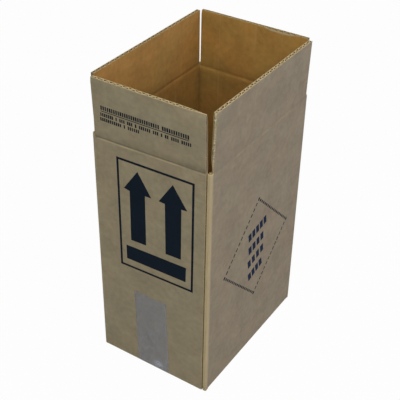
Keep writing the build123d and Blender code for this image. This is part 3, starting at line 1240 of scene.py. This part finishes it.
    def bottom_fold(self, nodes, cells, columns, side):
        """The bend from a wall's foot to its bottom flap, rolled out as a bead on the short walls.

        outer and inner list the path of each face, w in millimetres and the inner height from the floor.
        """
        floor, base = side.floor, side.base
        if side.minor:
            outer = [(12, floor), (4.15, floor), (4.0, base + 1.2 * MM), (1.3, base + MM)]
            outer += [(0.4, base + 1.3 * MM), (0.08, base + 1.8 * MM), (0, base + 2.4 * MM)]
        else:
            outer = [(12, base), (3.5, base), (2.16, base + 0.27 * MM), (1, base + MM)]
            outer += [(0.27, base + 2.16 * MM), (0.05, base + 3 * MM), (0, base + 3.8 * MM)]
        inner = [(12, 4), (4.9, 4), (4.6, 4.05), (4.3, 4.2), (4.08, 4.5), (4.0, 4.9), (4.0, 5.6)]
        path = [(w * MM, z, in_w * MM, floor + in_z * MM) for (w, z), (in_w, in_z) in zip(outer, inner)]
        indices = [i for i, c in enumerate(columns) if c[0] == side.name]
        for i in indices:
            u = columns[i][2]
            for k, (w, z, inner_w, inner_z) in enumerate(path):
                points = side.on_wall(u, w, z), side.on_wall(u, inner_w, inner_z)
                # The inside of the fold gets the painted shade of the walls.
                nodes[i, side.name, k] = (*points, side.flat(u, z - w), (0.25 * dip(k - 4, 1.5), PAINTED_SHADE))
            nodes[i, side.name, len(path)] = nodes[i, 0]
        for i, j in zip(indices, indices[1:]):
            for k in range(len(path)):
                upper = k + 1 == len(path)
                top = ((j, 0), (i, 0)) if upper else ((j, side.name, k + 1), (i, side.name, k + 1))
                cells.append(((i, side.name, k), (j, side.name, k)) + top)

    def bottom_flap(self, pile, side, size):
        """The closed bottom flap beyond its fold."""

        def faces(u, t):
            """The flap's two faces, which are flat."""
            return 0.0, size.thickness

        def flat(u, t):
            """Place on the flat blank, below the wall."""
            return side.flat(u, side.base - t)

        def wear(u, t):
            """The same wear on both faces."""
            return (edge_wear(u, t, size.reach),) * 2

        depth = (FOLD_TOP, size.reach)
        fluted_board(pile, side.on_floor, flat, side.ends, depth, faces, wear, side.seed + 20)


class BOX_OT_creases(Operator):
    """Presses the four top creases, where the board bends from the wall to its flap"""

    bl_idname = "shipper_box.creases"
    bl_label = "Press the creases"

    def execute(self, context):
        size = context.scene.box_board
        for side in make_sides(size).values():
            self.band(side, size)
        return {"FINISHED"}

    def band(self, side, size):
        """The bending board of one crease, as wide as the wall below and as the flap above."""
        half = size.crease_half
        rows = [-half, -4.4 * MM, -3.2 * MM] + spread(-2.4 * MM, 5.2 * MM, 0.4 * MM) + [half]

        def node(share, t):
            """Both faces at a share of the width."""
            wall = side.ends[0] + (side.ends[1] - side.ends[0]) * share
            flap = side.flap_ends[0] + (side.flap_ends[1] - side.flap_ends[0]) * share
            u = wall + (flap - wall) * smooth((t + 1.5 * MM) / (3 * MM))
            outer, inner = side.section(u, t)
            points = side.on_crease(u, outer, t), side.on_crease(u, inner, t)
            return (*points, side.flat_flap(u, t), side.wear(u, t))

        pile = Pile()
        columns = spread(0, 1, 5 * MM / (side.ends[1] - side.ends[0]))
        pile.grid(columns, rows, node, (OUTSIDE, INSIDE, CUT), size.thickness)
        band = pile.make(side.name + "_crease_band", board_materials())
        start, end = side.hinge - UP * 4 * MM, side.hinge + UP * 4 * MM
        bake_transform(band)
        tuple(start)
        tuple(end)


class BOX_OT_flaps(Operator):
    """Makes the four top flaps of liners and fluted medium, with their cut and frayed edges"""

    bl_idname = "shipper_box.flaps"
    bl_label = "Cut the top flaps"

    def execute(self, context):
        size = context.scene.box_board
        for side in make_sides(size).values():
            pile = Pile()
            depth = (size.crease_half, side.edge)
            torn = self.torn_edge if side.name == "back" else None
            board = (side.on_flap, side.flat_flap, side.flap_ends, depth, side.section, side.wear)
            fluted_board(pile, *board, side.seed, side.rough, torn)
            self.frayed_sides(pile, side, size)
            flap = pile.make(side.name + "_flap_board", board_materials())
            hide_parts(side.name + "_flap")
            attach(flap, side.name + "_flap")
        return {"FINISHED"}

    def frayed_sides(self, pile, side, size):
        """Both side cuts of a flap. The near one of the right flap has frayed most and is pale; the others
        get painted shade.
        """
        depth = (size.crease_half, side.edge - 0.6 * MM)
        for outward, end in zip((-1, 1), side.flap_ends):
            most = side.name == "right" and outward == -1
            fuzz, tone = (1.6 * MM, 0.4) if most else (0.3 * MM, PAINTED_SHADE)
            cut = (side.on_flap, side.flat_flap, end, outward, depth, side.section)
            frayed_side(pile, *cut, side.seed + 30, fuzz, tone)

    def torn_edge(self, u):
        """The crescent torn from the back flap's inner liner."""
        return 0.9 * MM * crescent(u, *PEEL[:2])


# Print

def strip(a, b, width):
    """Outline of a bar from a to b, anticlockwise."""
    way = (b - a).normalized()
    half = Vector((-way.y, way.x)) * (width / 2)
    return [a - half, b - half, b + half, a + half]


def printed(pile, outlines, place, flat, slot):
    """Ink over flat outlines, anticlockwise in (u, height), cut up so that it follows the paper."""
    settings = bpy.context.scene.box_print
    mesh = bmesh.new()
    for outline in outlines:
        mesh.faces.new([mesh.verts.new((x, y, 0)) for x, y in outline])
    bmesh.ops.remove_doubles(mesh, verts=mesh.verts, dist=1e-6)
    corners = [v.co for v in mesh.verts]
    for axis, normal in ((0, (1, 0, 0)), (1, (0, 1, 0))):
        low, high = min(c[axis] for c in corners), max(c[axis] for c in corners)
        for value in spread(low, high, settings.step)[1:-1]:
            spot = (value, 0, 0) if axis == 0 else (0, value, 0)
            everything = mesh.verts[:] + mesh.edges[:] + mesh.faces[:]
            bmesh.ops.bisect_plane(mesh, geom=everything, plane_co=spot, plane_no=normal, dist=1e-7)
    mesh.verts.index_update()
    sunk = 0.04 * MM
    nodes = {}
    for vertex in mesh.verts:
        u, v = vertex.co.x, vertex.co.y
        nodes[vertex.index] = (place(u, -settings.lift, v), place(u, sunk, v), flat(u, v), (0.0, 0.0))
    cells = [tuple(v.index for v in face.verts) for face in mesh.faces]
    pile.sheet(nodes, cells, (slot, slot, slot), settings.lift)
    mesh.free()


def marked(pile, lines, place, flat, slot, values):
    """Rows of marks from the geometry tree, laid on the paper."""
    settings = bpy.context.scene.box_print
    path = bpy.data.meshes.new("path")
    points = [p for line in lines for p in line]
    edges = [(2 * i, 2 * i + 1) for i in range(len(lines))]
    path.from_pydata([(x, y, 0) for x, y in points], edges, [])
    thick = 0.09 * MM
    lift = thick / 2 - settings.lift
    marks = evaluated(path, marks_tree(), {"Thickness": thick, **values})
    pile.mesh(marks, lambda p: place(p.x, lift - p.z, p.y), lambda p: flat(p.x, p.y), slot)


class BOX_OT_print(Operator):
    """Prints the framed arrows and the plain rows of marks on the front and the right side"""

    bl_idname = "shipper_box.marks"
    bl_label = "Print the marks"

    def execute(self, context):
        size = context.scene.box_board
        paper = context.scene.box_paper
        sides = make_sides(size)
        dark = paper_material("ink_dark", paper.ink, paper.kraft, shine=0.06)
        blue = paper_material("ink_blue", paper.blue_ink, paper.kraft, shine=0.06)
        self.front_panel(sides["front"], dark)
        self.front_flap(sides["front"], dark)
        self.right_panel(sides["right"], dark, blue)
        return {"FINISHED"}

    def front_panel(self, side, ink):
        """A frame with two arrows that point up and a bar under them."""
        line = bpy.context.scene.box_print.line
        corners = in_mm((-42.1, 139.9), (54.2, 143.1), (54.9, 284.6), (-42.1, 281.9))
        inner = []
        for before, at, after in zip(corners[-1:] + corners, corners, corners[1:] + corners[:1]):
            one, two = (before - at).normalized(), (after - at).normalized()
            inner.append(at + (one + two) * line)
        outlines = []
        for i in range(4):
            j = (i + 1) % 4
            outlines.append([corners[i], corners[j], inner[j], inner[i]])
        left_arrow = in_mm((-15.4, 272.4), (-33.7, 245.7), (-26.3, 244.3), (-26.7, 179.6))
        left_arrow += in_mm((-6.7, 180.5), (-6.6, 245.3), (1.5, 245.9))
        right_arrow = in_mm((28.7, 273.1), (10.8, 246.1), (18.6, 245.8), (18.9, 180.6))
        right_arrow += in_mm((38.7, 181.7), (39.1, 246.9), (46.3, 247.6))
        bar = in_mm((-33.4, 151.3), (44.8, 153.6), (45.3, 173.2), (-33.4, 170.2))
        outlines += [left_arrow, right_arrow, bar]
        pile = Pile()
        printed(pile, outlines, side.on_wall, side.flat, 0)
        marks = pile.make("front_print", [ink])
        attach(marks, "box")

    def front_flap(self, side, ink):
        """Three rows of small blocks on the flap, the first one underlined."""
        pile = Pile()
        rows = [
            ((-57, 39.3), (48, 40.6), 4.8, 2.0, 2.65, 0.08, 4),
            ((-58, 31.4), (50.5, 32.6), 4.0, 1.8, 2.4, 0.14, 5),
            ((-58.5, 25.8), (-11.5, 26.4), 4.0, 1.8, 2.4, 0.14, 7),
        ]
        for start, end, high, long, pitch, gaps, seed in rows:
            values = {
                "Length": long * MM,
                "Spacing": pitch * MM,
                "Width": high * MM,
                "Left Out": gaps,
                "Unevenness": 0.25,
                "Seed": seed,
            }
            marked(pile, [in_mm(start, end)], side.on_flap, side.flat_flap, 0, values)
        rule = strip(*in_mm((-58, 35.4), (48.4, 36.9)), 0.8 * MM)
        printed(pile, [rule], side.on_flap, side.flat_flap, 0)
        marks = pile.make("flap_print", [ink])
        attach(marks, "front_flap")

    def right_panel(self, side, dark, blue):
        """A dashed square on its corner with four slanted rows of blocks in it."""
        pile = Pile()
        top, right, bottom, left = in_mm((0.5, 215.1), (71.5, 145.5), (1.3, 79.3), (-67.2, 148.5))
        fine = {"Length": 3.1 * MM, "Spacing": 5.0 * MM, "Width": 2.8 * MM}
        wide = {"Length": 4.2 * MM, "Spacing": 6.4 * MM, "Width": 1.9 * MM}
        marked(pile, [(top, right), (left, bottom)], side.on_wall, side.flat, 0, fine)
        marked(pile, [(left, top), (right, bottom)], side.on_wall, side.flat, 0, wide)
        rows = [
            in_mm((-14.8, 171.2), (17.6, 176.7)),
            in_mm((-13.0, 152.0), (13.0, 156.5)),
            in_mm((-13.0, 132.3), (14.4, 138.0)),
            in_mm((-10.6, 112.4), (13.0, 118.2)),
        ]
        block = {"Length": 6.6 * MM, "Spacing": 7.3 * MM, "Width": 10.8 * MM, "Unevenness": 0.12, "Seed": 3}
        for row in rows:
            marked(pile, [row], side.on_wall, side.flat, 1, block)
        marks = pile.make("side_print", [dark, blue])
        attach(marks, "box")


class BOX_OT_tape(Operator):
    """Lays the grey tape up the front, under the bottom seam and up the back"""

    bl_idname = "shipper_box.tape"
    bl_label = "Lay the tape"

    def execute(self, context):
        sides = make_sides(context.scene.box_board)
        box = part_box("bottom_tape")
        path = self.path(sides["front"], sides["back"], box[1].z)
        shares = spread(0, 1, 0.07)
        nodes = {}
        for i, share in enumerate(shares):
            for k, place in enumerate(path):
                nodes[i, k] = self.node(box, share, *place)
        cells = [quad(i, k)[::-1] for i in range(len(shares) - 1) for k in range(len(path) - 1)]
        pile = Pile()
        pile.sheet(nodes, cells, (0, 0, 0), FILM)
        tape = pile.make("seam_tape", [film_material()])
        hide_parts("bottom_tape")
        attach(tape, "box")
        return {"FINISHED"}

    def path(self, front, back, high):
        """Places along the tape from its front end to its back end: side, w, z and length so far."""
        base = front.base
        rise = [(0.0, z) for z in spread(high, 5 * MM, 4 * MM)]
        rise += [(0.0, base + 2.4 * MM), (0.3 * MM, base + 1.35 * MM), (1.2 * MM, base + 0.95 * MM)]
        turn = 4.6 * MM
        places = [(front, w, z) for w, z in rise]
        places += [(front, w, base) for w in spread(turn, 2 * front.face - turn, 8 * MM)]
        places += [(back, w, z) for w, z in rise[::-1]]
        path, length = [(*places[0], 0.0)], 0.0
        for (_, last_w, last_z), (side, w, z) in zip(places, places[1:]):
            length += max(abs(w - last_w), abs(z - last_z), 0.1 * MM)
            path.append((side, w, z, length))
        return path

    def node(self, box, share, side, w, z, length):
        """Both faces of the film at a share of its width and a place along it."""
        low, high = box
        front = side.name == "front"
        slant = (1.9 * MM - 3.4 * MM * z / high.z) if front else 0.0
        x = low.x + (high.x - low.x) * share + slant
        u = x if front else -x
        bubble = dip(x - 7 * MM, 7 * MM) * dip(z - 9 * MM, 5 * MM) if front else 0.0
        if w < 3 * MM and z > 2.6 * MM:
            crinkle = 0.10 * MM * max(0.0, wander(41, x, length, scale=60))
            lift = 0.012 * MM + (0.55 * MM * bubble + crinkle)
            inner = side.on_wall(u, w - lift, z)
            outer = side.on_wall(u, w - lift - FILM, z)
        elif w > 4 * MM:
            inner = side.on_wall(u, w, z)
            outer = inner - UP * FILM
        else:
            out = Vector((w - 1.4 * MM, z - side.base - 2.4 * MM)).normalized() * FILM
            inner = side.on_wall(u, w, z)
            outer = side.on_wall(u, w + out.x, z + out.y)
        return outer, inner, (x, length), (bubble, bubble)


# Stage

class BOX_OT_stage(Operator):
    """Sets the pale floor, the soft light and the camera"""

    bl_idname = "shipper_box.stage"
    bl_label = "Set the stage"

    def execute(self, context):
        scene = context.scene
        stage = scene.box_stage
        scene.view_settings.view_transform = "Standard"
        self.floor()
        self.world(scene, stage)
        self.lamp("key", (0.75, -1.5, 1.45), 0.7, 10.0, (0.97, 0.97, 1.0))
        self.lamp("fill", (-1.2, -1.6, 0.3), 1.0, 1.0, (0.9, 0.98, 1.2))
        self.lamp("side", (1.9, 0.5, 1.0), 1.2, 5.6, (1.0, 0.89, 1.9))
        self.lamp("top", (0.85, -0.55, 2.1), 1.0, 15.5, (1.0, 0.94, 0.83))
        self.camera(scene, stage)
        return {"FINISHED"}

    def floor(self):
        """A white floor that shows white to the camera, but not through the seam of the box on it."""
        mesh = bpy.data.meshes.new("floor")
        (left, near, _), (right, back, _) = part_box("bottom_tape")
        reach, beside, within, below = 6.0, 50 * MM, 5 * MM, -0.3 * MM
        across = (-reach, left - beside, right + beside, reach)
        along = (-reach, near + within, back - within, reach)
        corners = [(x, y, below) for y in along for x in across]
        squares = [(i, i + 1, i + 5, i + 4) for i in (0, 1, 2, 4, 5, 6, 8, 9, 10)]
        mesh.from_pydata(corners, [], squares)
        mesh.polygons[4].material_index = 1
        floor = place_object("floor", mesh)
        material, t, shader = new_material("floor_white")
        t.feed(shader, {"Base Color": (0.4, 0.4, 0.4, 1), "Roughness": 0.9, "Specular IOR Level": 0.0})
        white = t.add("ShaderNodeEmission", {"Color": (1, 1, 1, 1), "Strength": 1.0})
        share = t.math("MULTIPLY", t.seen_straight(), 0.975)
        both = t.add("ShaderNodeMixShader", {0: share, 1: shader.outputs[0], 2: white.outputs[0]})
        t.feed(material.node_tree.nodes["Material Output"], {0: both.outputs[0]})
        covered = new_material("floor_covered")[0]
        mesh.materials.append(material)
        mesh.materials.append(covered)
        floor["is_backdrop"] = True

    def world(self, scene, stage):
        """Even light all round, and pure white where the camera looks past the floor."""
        world = bpy.data.worlds.new("studio")
        world.use_nodes = True
        scene.world = world
        t = Tree(world.node_tree)
        strength = t.math("MULTIPLY_ADD", t.seen_straight(), 1.0 - stage.daylight, stage.daylight)
        t.feed(world.node_tree.nodes["Background"], {"Color": (1, 1, 1, 1), "Strength": strength})

    def lamp(self, name, place, size, power, colour):
        """A square soft light aimed at the box."""
        data = bpy.data.lights.new(name, "AREA")
        data.size = size
        data.energy = power
        data.color = colour
        lamp = bpy.data.objects.new(name, data)
        bpy.context.scene.collection.objects.link(lamp)
        middle = Vector((0, 0, 0.2))
        aim = middle - Vector(place)
        lamp.matrix_world = Matrix.Translation(place) @ aim.to_track_quat("-Z", "Y").to_matrix().to_4x4()

    def camera(self, scene, stage):
        """The camera where the photograph was taken from."""
        data = bpy.data.cameras.new("camera")
        data.sensor_width = 36
        data.lens = stage.lens
        camera = bpy.data.objects.new("camera", data)
        scene.collection.objects.link(camera)
        heading, pitch, roll = stage.heading, stage.pitch, stage.roll
        level = Vector((math.cos(heading), -math.sin(heading), 0))
        forward = Vector((math.sin(heading), math.cos(heading), 0))
        ahead = forward * math.cos(pitch) - UP * math.sin(pitch)
        above = level.cross(ahead)
        right = level * math.cos(roll) + above * math.sin(roll)
        above = above * math.cos(roll) - level * math.sin(roll)
        turn = Matrix((right, above, -ahead)).transposed().to_4x4()
        camera.matrix_world = Matrix.Translation(Vector(stage.place)) @ turn
        scene.camera = camera


class BOX_PT_panel(Panel):
    """Lists the steps and the sizes in the sidebar"""

    bl_label = "Shipper Box"
    bl_idname = "BOX_PT_panel"
    bl_space_type = "VIEW_3D"
    bl_region_type = "UI"
    bl_category = "Shipper Box"

    def draw(self, context):
        layout = self.layout
        for operator in OPERATORS:
            layout.operator(operator.bl_idname)
        for group in ("box_board", "box_print", "box_paper", "box_stage"):
            settings = getattr(context.scene, group)
            box = layout.box()
            for key in settings.bl_rna.properties.keys():
                if key not in ("rna_type", "name"):
                    box.prop(settings, key)


SETTINGS = {
    "box_board": BoardSettings,
    "box_paper": PaperSettings,
    "box_print": PrintSettings,
    "box_stage": StageSettings,
}
OPERATORS = (BOX_OT_walls, BOX_OT_creases, BOX_OT_flaps, BOX_OT_print, BOX_OT_tape, BOX_OT_stage)


def register():
    """Adds the settings, the steps and the panel."""
    for name, settings in SETTINGS.items():
        bpy.utils.register_class(settings)
        setattr(bpy.types.Scene, name, PointerProperty(type=settings))
    for operator in OPERATORS:
        bpy.utils.register_class(operator)
    bpy.utils.register_class(BOX_PT_panel)


def unregister():
    """Takes them away again."""
    bpy.utils.unregister_class(BOX_PT_panel)
    for operator in reversed(OPERATORS):
        bpy.utils.unregister_class(operator)
    for name, settings in SETTINGS.items():
        delattr(bpy.types.Scene, name)
        bpy.utils.unregister_class(settings)


def main():
    """Builds the box and its stage."""
    register()
    bpy.ops.shipper_box.walls()
    bpy.ops.shipper_box.creases()
    bpy.ops.shipper_box.flaps()
    bpy.ops.shipper_box.marks()
    bpy.ops.shipper_box.tape()
    bpy.ops.shipper_box.stage()
    visual_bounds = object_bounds()
    boxes = {"cad": cad_bounds, "visual": visual_bounds}
    {name: [list(corner) for corner in box] for name, box in boxes.items()}


if __name__ == "__main__":
    main()
